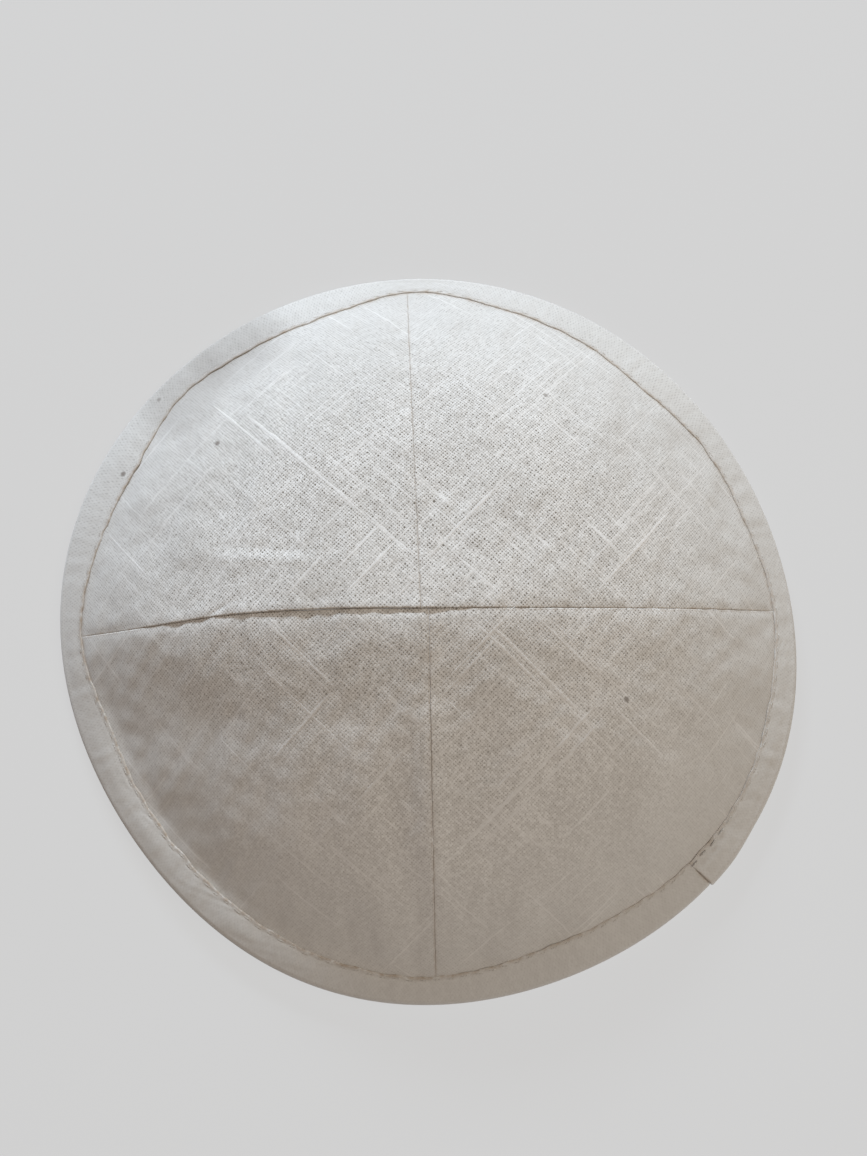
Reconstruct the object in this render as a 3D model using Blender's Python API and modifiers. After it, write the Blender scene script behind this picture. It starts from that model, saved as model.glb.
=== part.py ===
# Four-panel cloth skullcap with a folded binding round its rim
#
# Metres, +Z up. The origin is on the floor, under the middle of the rim. +X is the
# wearer's right, +Y is the back. Four gores of cloth meet in a cross of seams, and a
# tape is folded over their lower edges. The cap is hollow and open underneath.

import math

import bmesh
import bpy
import numpy as np

# Sizes of the whole cap
rim_radius = 0.0825  # from the middle to the outside of the binding, as a mean
crown_height = 0.0320  # floor to the outside of the cloth where the seams cross

# Cloth
panel_wall = 0.0010
tape_wall = 0.0010
tape_width = 0.0080  # binding, measured down the slope on the outside
inner_leg_width = 0.0075  # the same on the inside
clearance = 0.0003  # between the tape and the cloth that it holds
seam_gap = 0.0005  # between two panels, along a seam

# Lapped end of the binding
lap_angle = -44.5  # degrees, where the upper end of the tape is cut off
lap_length = 0.0110
lap_rise = 0.0005

# Ridge along the cross seam, where the cap was folded in half for storage
ridge_rise = 0.0017
ridge_reach = 0.0140

# Half of the flat that the fold rests on, in degrees round the fold
rest_flat = 16.0

# How finely the cloth is faceted
panel_columns = 16
panel_rows = 16
tape_columns = 64
outline_samples = 720
cut_half_step = 0.15  # degrees between the cut end of the tape and its sections either side
probe = 1e-5  # step along the surface that its slope is read over
merge_distance = 1e-6

# Shape of the rim seen from above. Each row adds a wave round the rim.
# Columns: waves in one turn, height as a share of rim_radius, angle of a crest in degrees
rim_waves = (
    (1, 0.009, 50.0),
    (2, 0.019, -41.0),
    (4, 0.008, -20.0),
    (5, 0.003, -35.0),
)

# Fullness of the profile: height falls off with the distance from the top to this power
fullness = 2.10
fullness_to_back = 0.50  # steeper rim at the back, flatter at the front
fullness_to_right = -0.09

# Width of the binding round the rim, every 45 degrees from +X towards +Y
# Column: share of tape_width
tape_shares = (0.88, 1.16, 1.03, 1.16, 1.03, 0.94, 0.94, 1.05)

# Where the seams wander from straight lines
# Columns: place along the cross seam as a share of rim_radius, drift to the back as the same
cross_seam_drift = (
    (-1.00, -0.004),
    (-0.75, -0.002),
    (-0.50, 0.010),
    (-0.25, 0.009),
    (0.10, -0.002),
    (0.45, -0.006),
    (1.00, 0.000),
)
drift_reach = 0.15  # share of rim_radius over which the cloth follows the drift
drift_hold = 8  # power of the sine that keeps a seam's drift beside that seam
# Drift to the right at the top and at the rim, as shares of rim_radius
back_seam_drift = (-0.005, -0.019)
front_seam_drift = (0.013, -0.006)

# Dents and soft folds of the cloth
# Columns: name, x and y of the middle, half length and half width as shares of rim_radius,
# turn in degrees, rise as a share of crown_height
creases = (
    ("fold_back_left", -0.40, 0.155, 0.17, 0.050, -8.0, 0.022),
    ("dip_back_left", -0.43, 0.245, 0.20, 0.060, -8.0, -0.020),
    ("dip_by_cross_seam_left", -0.45, 0.075, 0.30, 0.040, -4.0, -0.016),
    ("hollow_front_left", -0.56, -0.175, 0.34, 0.075, -3.0, -0.040),
    ("swell_front_left", -0.50, -0.300, 0.30, 0.090, -6.0, 0.020),
    ("hollow_front_left_low", -0.36, -0.640, 0.34, 0.110, -40.0, -0.036),
    ("fold_front_seam", 0.000, -0.520, 0.04, 0.300, 0.0, 0.022),
    ("dip_front_seam", -0.075, -0.620, 0.05, 0.220, 4.0, -0.018),
    ("swell_front_right", 0.42, -0.420, 0.30, 0.220, 30.0, 0.016),
    ("swell_back_right", 0.36, 0.420, 0.26, 0.200, -35.0, 0.012),
)
crease_end = 0.90  # creases and the ridge are gone this far out, where the tape holds the cloth
crease_start_to_end = 0.72

cloth_colour = (0.62, 0.61, 0.58, 1.0)
tape_colour = (0.60, 0.59, 0.56, 1.0)
cloth_roughness = 0.92

fold_radius = panel_wall / 2 + clearance + tape_wall


def shares_between(places, values, at):
    """Smooth curve through a short table, read at the places in at."""
    places, values = np.asarray(places, float), np.asarray(values, float)
    slopes = np.gradient(values, places)
    i = np.clip(np.searchsorted(places, at, side="right") - 1, 0, len(places) - 2)
    step = places[i + 1] - places[i]
    t = np.clip((at - places[i]) / step, 0, 1)
    rise = (3 - 2 * t) * t * t
    start = (1 - t) * (1 - t) * t * step * slopes[i]
    end = (t - 1) * t * t * step * slopes[i + 1]
    return values[i] + (values[i + 1] - values[i]) * rise + start + end


def round_table(shares, angle):
    """The same for a table whose rows are spread evenly round the rim."""
    count = len(shares)
    turns = np.arange(-2, count + 3)
    row = np.mod(angle / (2 * math.pi), 1.0) * count
    return shares_between(turns, np.asarray(shares)[turns % count], row)


def smooth_step(low, high, x):
    t = np.clip((x - low) / (high - low), 0, 1)
    return t * t * (3 - 2 * t)


def outline_radius(angle):
    """Outside of the binding, from the crossing of the seams."""
    radius = np.ones_like(angle)
    for waves, share, crest in rim_waves:
        radius = radius + share * np.cos(waves * (angle - math.radians(crest)))
    return rim_radius * radius


def outline_middle():
    """Middle of the box round the outline, which becomes the origin."""
    angle = np.linspace(0, 2 * math.pi, outline_samples, endpoint=False)
    radius = outline_radius(angle)
    x, y = radius * np.cos(angle), radius * np.sin(angle)
    return (x.min() + x.max()) / 2, (y.min() + y.max()) / 2


middle_x, middle_y = outline_middle()


def power(angle):
    return fullness + fullness_to_back * np.sin(angle) + fullness_to_right * np.cos(angle)


def edge_radius(angle):
    """Where the cloth ends inside the fold of the tape."""
    lean = (crown_height - fold_radius) * power(angle) / rim_radius
    out = lean / np.sqrt(1 + lean * lean)
    return outline_radius(angle) - fold_radius + panel_wall / 2 * out


def edge_height(angle):
    lean = (crown_height - fold_radius) * power(angle) / rim_radius
    up = 1 / np.sqrt(1 + lean * lean)
    return fold_radius * math.cos(math.radians(rest_flat)) + panel_wall / 2 * up


def cross_seam_place(x, y):
    """How far to the back the cross seam draws the cloth at a place."""
    places, drifts = np.array(cross_seam_drift).T
    follow = np.exp(-((y / (drift_reach * rim_radius)) ** 2))
    return rim_radius * shares_between(places, drifts, x / rim_radius) * follow


def surface_height(x, y):
    """Outside of the cloth above the floor, at a place measured from the seams' crossing."""
    angle = np.arctan2(y, x)
    share = np.hypot(x, y) / edge_radius(angle)
    low = edge_height(angle)
    height = low + (crown_height - low) * (1 - share ** power(angle))
    held = 1 - smooth_step(crease_start_to_end, crease_end, share)
    from_seam = np.abs(y - cross_seam_place(x, y))
    folds = ridge_rise * (np.exp(-from_seam / ridge_reach) - 1) * np.exp(-share * share)
    for _, mid_x, mid_y, long_share, wide_share, turn, rise in creases:
        across, along = math.sin(math.radians(turn)), math.cos(math.radians(turn))
        dx, dy = x - mid_x * rim_radius, y - mid_y * rim_radius
        u = (dx * along + dy * across) / (long_share * rim_radius)
        v = (dy * along - dx * across) / (wide_share * rim_radius)
        folds = folds + rise * crown_height * np.exp(-u * u - v * v)
    return height + held * folds


def mesh_object(name, vertices, faces, colour, collection):
    mesh = bpy.data.meshes.new(name)
    mesh.from_pydata(vertices, [], faces)
    material = bpy.data.materials.new(name)
    material.use_nodes = True
    shader = material.node_tree.nodes["Principled BSDF"]
    shader.inputs["Base Color"].default_value = colour
    shader.inputs["Roughness"].default_value = cloth_roughness
    shader.inputs["Metallic"].default_value = 0.0
    mesh.materials.append(material)
    built = bmesh.new()
    built.from_mesh(mesh)
    bmesh.ops.remove_doubles(built, verts=built.verts, dist=merge_distance)
    built.to_mesh(mesh)
    built.free()
    mesh.shade_smooth()
    made = bpy.data.objects.new(name, mesh)
    collection.objects.link(made)
    return made


def add_wall(made, thickness):
    wall = made.modifiers.new("wall", "SOLIDIFY")
    wall.thickness = thickness
    wall.offset = -1
    wall.use_even_offset = True
    wall.use_rim = True


def grid_faces(rows, columns, closed):
    """Quads between rows of points, wound so that they face outwards."""
    faces = []
    last = columns if closed else columns - 1
    for row in range(rows - 1):
        for column in range(last):
            after = (column + 1) % columns
            a, b = row * columns + column, row * columns + after
            faces.append((a, a + columns, b + columns, b))
    return faces


def cloth_panel(name, right, back, collection):
    """One gore: rays from the crossing of the seams to the rim, half a seam gap inside it."""
    half_gap = seam_gap / 2
    trim = half_gap / rim_radius
    side, way = (1 if right else -1), (1 if back else -1)
    first = {(1, 1): 0, (-1, 1): 1, (-1, -1): 2, (1, -1): 3}[(side, way)] * math.pi / 2
    angle = first + np.linspace(trim, math.pi / 2 - trim, panel_columns + 1)
    drift = back_seam_drift if back else front_seam_drift
    near_seam = np.sin(angle) ** drift_hold
    corner_x = side * half_gap + drift[0] * rim_radius
    corner_y = way * half_gap
    rim_x = edge_radius(angle) * np.cos(angle) + drift[1] * rim_radius * near_seam
    rim_y = edge_radius(angle) * np.sin(angle)
    share = np.linspace(0, 1, panel_rows + 1)[:, None]
    x = corner_x + share * (rim_x - corner_x)
    y = corner_y + share * (rim_y - corner_y)
    y = y + cross_seam_place(x, y)
    z = surface_height(x, y)
    points = np.stack([x - middle_x, y - middle_y, z], -1).reshape(-1, 3)
    faces = grid_faces(panel_rows + 1, panel_columns + 1, closed=False)
    made = mesh_object(name, points.tolist(), faces, cloth_colour, collection)
    add_wall(made, panel_wall)
    return made


def tape_angles():
    """Sections round the rim, with two close together at the cut end of the tape."""
    even = np.arange(tape_columns) * 2 * math.pi / tape_columns
    cut = math.radians(lap_angle) % (2 * math.pi)
    step = math.radians(cut_half_step)
    near = np.abs(np.mod(even - cut + math.pi, 2 * math.pi) - math.pi)
    even = even[near > 3 * step]
    return np.sort(np.concatenate([even, [cut - step, cut + step]]))


def lap_offset(angle):
    """How far the lapped end lifts the tape off the cloth."""
    along = np.mod(angle - math.radians(lap_angle) + math.pi, 2 * math.pi) - math.pi
    along = along * rim_radius
    raised = np.where(along > 0, 1.0, 0.0)
    return lap_rise * raised * (1 - smooth_step(0.5 * lap_length, 1.5 * lap_length, along))


def rim_binding(collection):
    """Tape folded over the rim: its outside is swept round and given its wall inwards."""
    angle = tape_angles()
    ray = np.stack([np.cos(angle), np.sin(angle)])
    edge = edge_radius(angle)
    lift = lap_offset(angle)
    width = tape_width * round_table(tape_shares, angle)

    def slope_at(radius):
        inner = surface_height((radius - probe) * ray[0], (radius - probe) * ray[1])
        outer = surface_height((radius + probe) * ray[0], (radius + probe) * ray[1])
        return np.arctan2(inner - outer, 2 * probe)

    def on_leg(distance, offset):
        """A point up the slope from the cloth's edge, and off its outside."""
        radius = edge - distance * np.cos(slope_at(edge - distance * 0.5))
        lean = slope_at(radius)
        height = surface_height(radius * ray[0], radius * ray[1])
        return radius + offset * np.sin(lean), height + offset * np.cos(lean)

    outside = clearance + tape_wall + lift
    inside = -(panel_wall + clearance + tape_wall)
    lean = slope_at(edge - probe)
    section = [on_leg(share * width, outside) for share in (1.0, 0.5)]
    centre_r = edge - panel_wall / 2 * np.sin(lean)
    centre_z = surface_height(edge * ray[0], edge * ray[1]) - panel_wall / 2 * np.cos(lean)
    flat_from = -math.pi / 2 + math.radians(rest_flat)
    flat_to = -math.pi / 2 - math.radians(rest_flat)
    turns = (math.pi / 2 - lean, 0, flat_from / 2, flat_from, flat_to, -math.pi / 2 - lean)
    for turn in turns:
        out = fold_radius + lift * np.clip(np.cos(turn) + np.sin(turn), 0, 1)
        on_floor = turn is flat_from or turn is flat_to
        height = 0 * lean if on_floor else centre_z + out * np.sin(turn)
        section.append((centre_r + out * np.cos(turn), height))
    section += [on_leg(share * inner_leg_width, inside) for share in (0.5, 1.0)]
    r = np.array([row[0] for row in section])
    z = np.array([row[1] for row in section])
    points = np.stack([r * ray[0] - middle_x, r * ray[1] - middle_y, z], -1).reshape(-1, 3)
    faces = grid_faces(len(section), len(angle), closed=True)
    made = mesh_object("rim_binding", points.tolist(), faces, tape_colour, collection)
    add_wall(made, tape_wall)
    return made


def build():
    for old in list(bpy.data.objects):
        bpy.data.objects.remove(old, do_unlink=True)
    collection = bpy.data.collections.new("kippah_skullcap")
    bpy.context.scene.collection.children.link(collection)
    cloth_panel("panel_back_left", right=False, back=True, collection=collection)
    cloth_panel("panel_back_right", right=True, back=True, collection=collection)
    cloth_panel("panel_front_left", right=False, back=False, collection=collection)
    cloth_panel("panel_front_right", right=True, back=False, collection=collection)
    rim_binding(collection)


build()
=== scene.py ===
# Linen skullcap: four panels, a tape folded round the rim and its stitches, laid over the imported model

import math

import bpy
import numpy as np
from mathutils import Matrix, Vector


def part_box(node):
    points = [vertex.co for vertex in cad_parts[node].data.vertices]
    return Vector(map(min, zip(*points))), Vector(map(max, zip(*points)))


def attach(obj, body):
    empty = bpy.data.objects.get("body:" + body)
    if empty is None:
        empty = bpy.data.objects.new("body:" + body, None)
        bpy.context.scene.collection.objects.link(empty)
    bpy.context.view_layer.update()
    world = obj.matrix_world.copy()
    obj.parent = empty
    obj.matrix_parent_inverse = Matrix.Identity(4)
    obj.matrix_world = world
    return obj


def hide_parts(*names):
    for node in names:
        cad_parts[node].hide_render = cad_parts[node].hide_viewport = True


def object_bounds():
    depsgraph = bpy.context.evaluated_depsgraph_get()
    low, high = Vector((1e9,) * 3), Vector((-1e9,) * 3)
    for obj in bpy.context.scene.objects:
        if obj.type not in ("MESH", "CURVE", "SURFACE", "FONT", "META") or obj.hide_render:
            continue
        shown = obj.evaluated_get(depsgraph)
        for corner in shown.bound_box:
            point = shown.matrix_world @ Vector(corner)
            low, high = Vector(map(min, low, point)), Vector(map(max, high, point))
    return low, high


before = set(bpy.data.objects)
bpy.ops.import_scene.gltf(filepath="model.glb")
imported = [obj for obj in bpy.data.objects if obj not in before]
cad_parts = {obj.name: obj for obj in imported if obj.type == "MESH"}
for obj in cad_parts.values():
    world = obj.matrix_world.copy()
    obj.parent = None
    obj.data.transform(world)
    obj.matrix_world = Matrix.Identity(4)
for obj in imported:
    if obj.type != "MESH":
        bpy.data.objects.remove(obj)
cadBox = [[float(value) for value in corner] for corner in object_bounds()]
fullTurn = 2 * math.pi
millimetre = 0.001
tiny = 1e-9
print("frame loaded:", ", ".join(sorted(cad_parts)))

# Camera, as the photograph was taken: metres, millimetres of lens and degrees
view = {
    "place": (0.0020, -0.0263, 0.2347),
    "tilt": 8.89,  # from straight down towards the back of the cap
    "roll": -2.07,
    "lens": 32.2,
    "sensor": 36.0,
    "nearest": 0.01,
}

# Soft light from behind the cap, low over the table, and a weaker warm one from high on the right.
# Azimuth is degrees from the back towards the right, sizes are metres and power is watts
lamps = {
    "key": {"azimuth": -12.0, "elevation": 20.0, "distance": 1.1, "size": (0.43, 0.10), "power": 10.9,
            "colour": (0.87, 1.00, 1.14)},
    "fill": {"azimuth": 90.0, "elevation": 55.0, "distance": 0.9, "size": (0.80, 0.50), "power": 2.7,
             "colour": (1.04, 1.00, 0.90)},
}
# Light from all round, and a grey table whose own glow gives most of its tone
surround = {"colour": (1.26, 1.00, 0.86), "strength": 0.14}
floorLook = {"glow": 0.575, "colour": 0.10, "size": 3.0, "below": 0.0001}

# Shape of the cap, which repeats the one that it was built with. foldRadius, wall and ridgeReach are
# metres, other lengths are shares of the rim's radius and angles are degrees from +X towards +Y
shape = {
    "outlinePoints": 720,
    "restFlat": 16.0,  # each way from straight down, where the fold lies flat
    "foldRadius": 0.0018,  # middle of the cloth's wall to the outside of the folded tape
    "wall": 0.0010,
    "fullness": 2.10,  # power of the dome's profile
    "fullnessToBack": 0.50,
    "fullnessToRight": -0.09,
    "ridgeReach": 0.0104,
    "creaseStart": 0.89,  # from here to the next one the creases fade out
    "creaseEnd": 1.00,
    "driftReach": 0.15,  # of the cross seam's drift to either side of it
    "driftHold": 8,  # how closely the other seams' drift keeps to them
    "backSeamDrift": (-0.005, -0.019),  # at the top and at the rim
    "frontSeamDrift": (0.013, -0.006),
}
# Columns: waves in one turn, height, angle of a crest
rimWaves = (
    (1, 0.009, 50.0),
    (2, 0.019, -41.0),
    (4, 0.008, -20.0),
    (5, 0.003, -35.0),
)
# Columns: place along the cross seam, drift to the back
crossSeamDrift = (
    (-1.00, -0.004),
    (-0.75, -0.002),
    (-0.50, 0.010),
    (-0.25, 0.009),
    (0.10, -0.002),
    (0.45, -0.006),
    (1.00, 0.000),
)
# Height of the ridge along the cross seam, where the cap was stored folded
# Columns: place along the seam by the rim's radius, rise in metres
ridgeRises = (
    (-1.00, 0.0036),
    (-0.70, 0.0034),
    (-0.45, 0.0026),
    (-0.20, 0.0021),
    (0.10, 0.0020),
    (0.45, 0.0018),
    (1.00, 0.0017),
)
# Columns: name, x and y of the middle, half length, half width, turn in degrees, rise by the crown's height
creases = (
    ("foldBackLeft", -0.40, 0.155, 0.17, 0.050, -8.0, 0.008),
    ("dipBackLeft", -0.43, 0.245, 0.20, 0.060, -8.0, -0.005),
    ("dipByCrossSeamLeft", -0.45, 0.075, 0.30, 0.040, -4.0, -0.001),
    ("hollowFrontLeft", -0.58, -0.235, 0.34, 0.110, -3.0, -0.036),
    ("swellFrontLeft", -0.50, -0.300, 0.30, 0.090, -6.0, 0.004),
    ("slopeFrontLeft", -0.68, -0.40, 0.24, 0.150, 0.0, -0.014),
    ("hollowFrontLeftLow", -0.53, -0.700, 0.50, 0.240, -38.0, -0.024),
    ("foldFrontSeam", 0.000, -0.520, 0.04, 0.300, 0.0, 0.022),
    ("dipFrontSeam", -0.075, -0.620, 0.05, 0.220, 4.0, -0.018),
    ("swellFrontRight", 0.42, -0.420, 0.30, 0.220, 30.0, 0.016),
    ("swellBackRight", 0.36, 0.420, 0.26, 0.200, -35.0, 0.012),
)
# Small sharp creases, in the same columns, with lengths and the rise in metres
fineCreases = (
    ("grooveBackLeft", -0.0310, 0.0140, 0.0110, 0.0014, -7.0, -0.00030),
    ("edgeBackLeft", -0.0310, 0.0115, 0.0100, 0.0011, -6.0, 0.00012),
    ("pinchAtSeam", -0.0420, 0.0021, 0.0032, 0.0005, 28.0, -0.00016),
    ("creaseFrontLeft", -0.0562, -0.0042, 0.0038, 0.0006, -57.0, 0.00009),
)


# Smooth curve through a short table of places and values: between two rows it is the cubic whose slope
# at each row is the weighted mean of the slopes on its two sides
def tableCurve(table, at):
    places, values = np.asarray(table, float).T
    slopes = np.gradient(values, places)
    i = np.clip(np.searchsorted(places, at, side="right") - 1, 0, len(places) - 2)
    step = places[i + 1] - places[i]
    t = np.clip((at - places[i]) / step, 0, 1)
    rise = (3 - 2 * t) * t * t
    start = (1 - t) * (1 - t) * t * step * slopes[i]
    end = (t - 1) * t * t * step * slopes[i + 1]
    return values[i] + (values[i + 1] - values[i]) * rise + start + end


# The same for values that are spread evenly round the rim
def roundTable(values, angle):
    count = len(values)
    turns = np.arange(-2, count + 3)
    rows = np.stack([turns, np.asarray(values)[turns % count]], -1)
    return tableCurve(rows, np.mod(angle / fullTurn, 1.0) * count)


# 0 below low, 1 above high, and 3t^2 - 2t^3 between them
def smoothStep(low, high, x):
    t = np.clip((x - low) / (high - low), 0, 1)
    return t * t * (3 - 2 * t)


# Bell curve: size times exp(-(distance / reach)^2)
def bell(distance, size, reach):
    return size * np.exp(-((distance / reach) ** 2))


# A quarter circle from 0 to 1: sqrt(1 - (1 - t)^2)
def quarterRound(t):
    return np.sqrt(1 - (1 - np.clip(t, 0, 1)) ** 2)


# Sum of sine waves in random directions. Its row gives their spread, a seed and the shortest and the
# longest wave, and own is added to the seed
def ripples(x, y, row, own=0, count=24):
    spread, seed, short, long = row
    random = np.random.default_rng(seed + own)
    heading = random.uniform(0, fullTurn, count)
    length = short * (long / short) ** random.uniform(0, 1, count)
    phase = random.uniform(0, fullTurn, count)
    total = 0.0
    for way, wave, start in zip(heading, length, phase):
        total = total + np.sin(fullTurn * (x * math.cos(way) + y * math.sin(way)) / wave + start)
    return spread * total * math.sqrt(2 / count)


# Rim seen from above: 1 plus each row's height times cos(waves (angle - crest))
def outlineShare(angle):
    share = np.ones_like(angle)
    for waves, height, crest in rimWaves:
        share = share + height * np.cos(waves * (angle - math.radians(crest)))
    return share


outlineTurn = np.linspace(0, fullTurn, shape["outlinePoints"], endpoint=False)
outlineX = outlineShare(outlineTurn) * np.cos(outlineTurn)
outlineY = outlineShare(outlineTurn) * np.sin(outlineTurn)
tapeLow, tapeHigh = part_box("rim_binding")
rimRadius = (tapeHigh[0] - tapeLow[0]) / (outlineX.max() - outlineX.min())
middleX = rimRadius * (outlineX.max() + outlineX.min()) / 2
middleY = rimRadius * (outlineY.max() + outlineY.min()) / 2
crownHeight = cadBox[1][2]
print("rim radius %.4f m, crown height %.4f m" % (rimRadius, crownHeight))


# Power of the dome's profile: fullness + toBack sin(angle) + toRight cos(angle)
def power(angle):
    toBack = shape["fullnessToBack"] * np.sin(angle)
    toRight = shape["fullnessToRight"] * np.cos(angle)
    return shape["fullness"] + toBack + toRight


# Slope of the plain dome at its edge: height times power by radius
def edgeLean(angle):
    return (crownHeight - shape["foldRadius"]) * power(angle) / rimRadius


# Where the cloth's outside ends inside the folded tape: the rim less the fold's radius, and half a wall
# along the cloth's normal, whose level part is slope / sqrt(1 + slope^2)
def edgeRadius(angle):
    lean = edgeLean(angle)
    out = lean / np.sqrt(1 + lean * lean)
    return rimRadius * outlineShare(angle) - shape["foldRadius"] + shape["wall"] / 2 * out


# Its height: the fold's middle and half a wall by the normal's upright part, 1 / sqrt(1 + slope^2)
def edgeHeight(angle):
    lean = edgeLean(angle)
    up = 1 / np.sqrt(1 + lean * lean)
    return shape["foldRadius"] * math.cos(math.radians(shape["restFlat"])) + shape["wall"] / 2 * up


# How far to the back the cross seam draws the cloth: its table's drift, fading as a bell curve
def crossSeamPlace(x, y):
    drift = tableCurve(crossSeamDrift, x / rimRadius)
    return rimRadius * drift * bell(y, 1, shape["driftReach"] * rimRadius)


# Creases and swells of a table: the sum of rise times exp(-u^2 - v^2), where u and v are the distances
# along and across each one's line by its half length and half width
def creaseRises(table, x, y):
    total = 0.0
    for _, midX, midY, halfLength, halfWidth, turn, rise in table:
        sine, cosine = math.sin(math.radians(turn)), math.cos(math.radians(turn))
        dx, dy = x - midX, y - midY
        u = (dx * cosine + dy * sine) / halfLength
        v = (dy * cosine - dx * sine) / halfWidth
        total = total + rise * np.exp(-u * u - v * v)
    return total


# Outside of the cloth: low + (crown - low)(1 - share^power). It drops away from the ridge along the
# cross seam as 1 - 1 / cosh(distance / reach), and the creases are added
def surfaceHeight(x, y):
    angle = np.arctan2(y, x)
    share = np.hypot(x, y) / edgeRadius(angle)
    low = edgeHeight(angle)
    height = low + (crownHeight - low) * (1 - share ** power(angle))
    held = 1 - smoothStep(shape["creaseStart"], shape["creaseEnd"], share)
    fromSeam = y - crossSeamPlace(x, y)
    ridge = tableCurve(ridgeRises, np.clip(x / rimRadius, -1, 1))
    folds = ridge * (1 / np.cosh(fromSeam / shape["ridgeReach"]) - 1) * np.exp(-share * share)
    folds = folds + crownHeight * creaseRises(creases, x / rimRadius, y / rimRadius)
    return height + held * folds


# Unit normals of that surface, from its slopes over a short step either way
def surfaceNormal(x, y, step=2e-5):
    slopeX = (surfaceHeight(x + step, y) - surfaceHeight(x - step, y)) / (2 * step)
    slopeY = (surfaceHeight(x, y + step) - surfaceHeight(x, y - step)) / (2 * step)
    size = np.sqrt(1 + slopeX * slopeX + slopeY * slopeY)
    return np.stack([-slopeX / size, -slopeY / size, 1 / size], -1)


# One mesh from whole arrays: points (n, 3) from the seams' crossing, quads (m, 4), the flat cloth's place
# at each corner (m, 4, 2) and at each point its share of painted shade, which is about 1 in a seam
def meshPiece(name, points, quads, flatPlaces, finish, seamShade=None, smooth=True):
    mesh = bpy.data.meshes.new(name)
    mesh.from_pydata(points - np.array([middleX, middleY, 0.0]), [], quads)
    layer = mesh.uv_layers.new(name="UVMap")
    layer.data.foreach_set("uv", flatPlaces.astype(np.float32).ravel())
    if seamShade is not None:
        near = mesh.attributes.new("seamShade", "FLOAT", "POINT")
        near.data.foreach_set("value", seamShade.astype(np.float32).ravel())
    mesh.materials.append(finish)
    if smooth:
        mesh.shade_smooth()
    piece = bpy.data.objects.new(name, mesh)
    bpy.context.scene.collection.objects.link(piece)
    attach(piece, "root")
    print("%s: %d quads" % (name, len(quads)))
    return piece


# Quads of a grid of rows by columns, wound from rows towards columns
def gridQuads(rows, columns, closedColumns=False, closedRows=False):
    i = np.arange(rows if closedRows else rows - 1)[:, None]
    j = np.arange(columns if closedColumns else columns - 1)[None, :]
    after, beside = (i + 1) % rows, (j + 1) % columns
    corners = [i * columns + j, after * columns + j, after * columns + beside, i * columns + beside]
    return np.stack([np.broadcast_to(c, (i.size, j.size)) for c in corners], -1).reshape(-1, 4)


# Faces of a closed shell: a grid of count by count points, a copy under it and a wall round both
def shellQuads(count):
    quads = gridQuads(count, count)
    line = np.arange(count - 1)
    back = line[::-1] + 1
    outline = np.concatenate([line * count, (count - 1) * count + line, back * count + count - 1, back])
    nextOne = np.roll(outline, -1)
    under = count * count
    walls = np.stack([nextOne, outline, outline + under, nextOne + under], -1)
    return np.concatenate([quads, quads[:, ::-1] + under, walls])


# Faces of a bar of six sides that is made of rings of points: its sides and a cap at either end
def barQuads(rings):
    caps = np.array([[3, 2, 1, 0], [5, 4, 3, 0]])
    around = gridQuads(rings, 6, closedColumns=True)[:, ::-1]
    return np.concatenate([around, caps, caps[:, ::-1] + 6 * (rings - 1)])


barTurn = np.arange(6) * fullTurn / 6

# Columns: name, on the right, at the back, number
panelRows = (
    ("panel_back_left", False, True, 1),
    ("panel_back_right", True, True, 2),
    ("panel_front_left", False, False, 3),
    ("panel_front_right", True, False, 4),
)
# Lengths are metres. Rows of four are ripples: their spread, seed, shortest and longest wave
cloth = {
    "thickness": 0.0006,
    "gridLines": 200,  # each way on a panel
    "seamCloser": (0.84, 12.0),  # how much closer the lines near a seam lie, and about how many do
    "halfGap": 0.00003,
    "rollRadius": 0.00025,  # how a panel's edge turns down into the seam
    "edgeDeeper": (0.000125, 0.0005),  # how much deeper the cloth is at a seam, and its reach
    "seamPull": (0.00012, 0.0011),  # how deep the stitching draws the cloth beside a seam, and its reach
    "otherSeams": 0.45,  # share of the roll and the pull at the seams to the back and the front
    "overhang": (0.00056, 0.0019),  # of the back panels' edge over the front ones', and its reach
    "overhangUneven": (0.10, 5, 0.004, 0.012),
    "overBack": 0.62,  # of the overhang: the back panels rise and the front ones sink
    "overFront": -0.38,
    "shadeReach": 0.00042,  # of the painted shade beside seams
    "backShadeCloser": 2.0,  # how many times closer it keeps to the seams to the back and the front
    "frontShadeCloser": 1.5,
    "edgeShadeReach": 0.00062,  # and beside the tape's folded edge
    "pucker": (0.00005, 61, 0.0035, 0.0100),
    "puckerReach": 0.0030,
    "unevenness": (0.00012, 11, 0.012, 0.040),
    "fineUnevenness": (0.00004, 2, 0.0035, 0.009),
    "reliefStart": (-0.0005, 0.0025),  # from the tape's edge, where the relief begins and is full
    "rimSlope": 1.25,  # length up the slope beside the tape, by the length seen from above
    "allowance": 0.0068,  # turned edges inside, beside each seam
    "allowanceRise": 0.00042,
    "allowanceSoft": 0.0004,
    "flatStretch": 0.075,  # slope length to the rim over its radius, less 1
    "flatApart": 0.2,  # between the panels on the flat cloth
    "threadWander": (0.00010, 3, 0.020, 0.060),
}
# Height of the back panels' edge over the cross seam
# Columns: place along the seam by the rim's radius, share of the overhang
overhangPlaces = (
    (-1.00, 0.0),
    (-0.90, -0.25),
    (-0.75, -0.20),
    (-0.69, 0.35),
    (-0.60, 0.75),
    (-0.53, 0.40),
    (-0.47, 0.75),
    (-0.40, 1.00),
    (-0.15, 1.00),
    (0.02, 0.95),
    (0.10, 0.25),
    (0.25, 0.0),
    (1.00, 0.0),
)

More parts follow.
